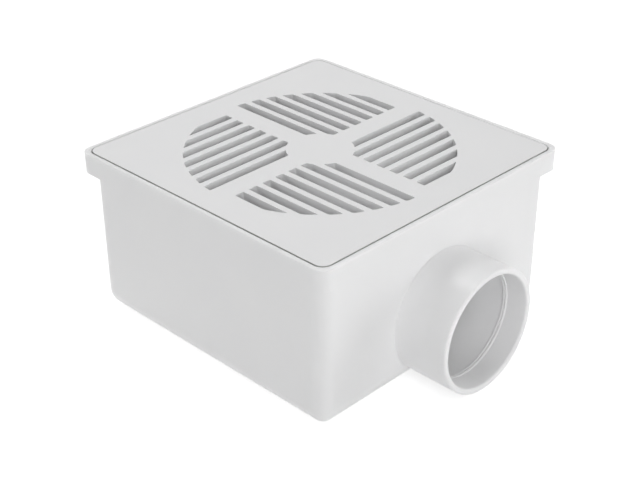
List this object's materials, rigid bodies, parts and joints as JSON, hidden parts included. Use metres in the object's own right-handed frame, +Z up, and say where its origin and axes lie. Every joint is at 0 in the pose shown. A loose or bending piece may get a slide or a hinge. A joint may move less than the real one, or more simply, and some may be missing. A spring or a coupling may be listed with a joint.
{
  "type": "trapped floor drain",
  "caption": "Low square moulded floor drain with a slotted lift-out grating, a hooded water trap inside and a side spigot for 40 mm waste pipe.",
  "frame": {"origin": "on the underside of the box, straight below the centre of the grating", "axes": "+Z up through the grating, +X along the outlet out of its mouth; the rim overhangs the box towards -X and +Y"},
  "size_m": [0.1245, 0.106, 0.054],
  "materials": {
    "body": "satin white moulded PVC",
    "grating": "satin white moulded PVC",
    "hood": "satin white moulded PVC",
    "seal": "matt black rubber"
  },
  "bodies": {
    "root": {"drain_body": "body", "grating": "grating", "trap_hood": "hood", "hood_seal": "seal"}
  },
  "joints": []
}
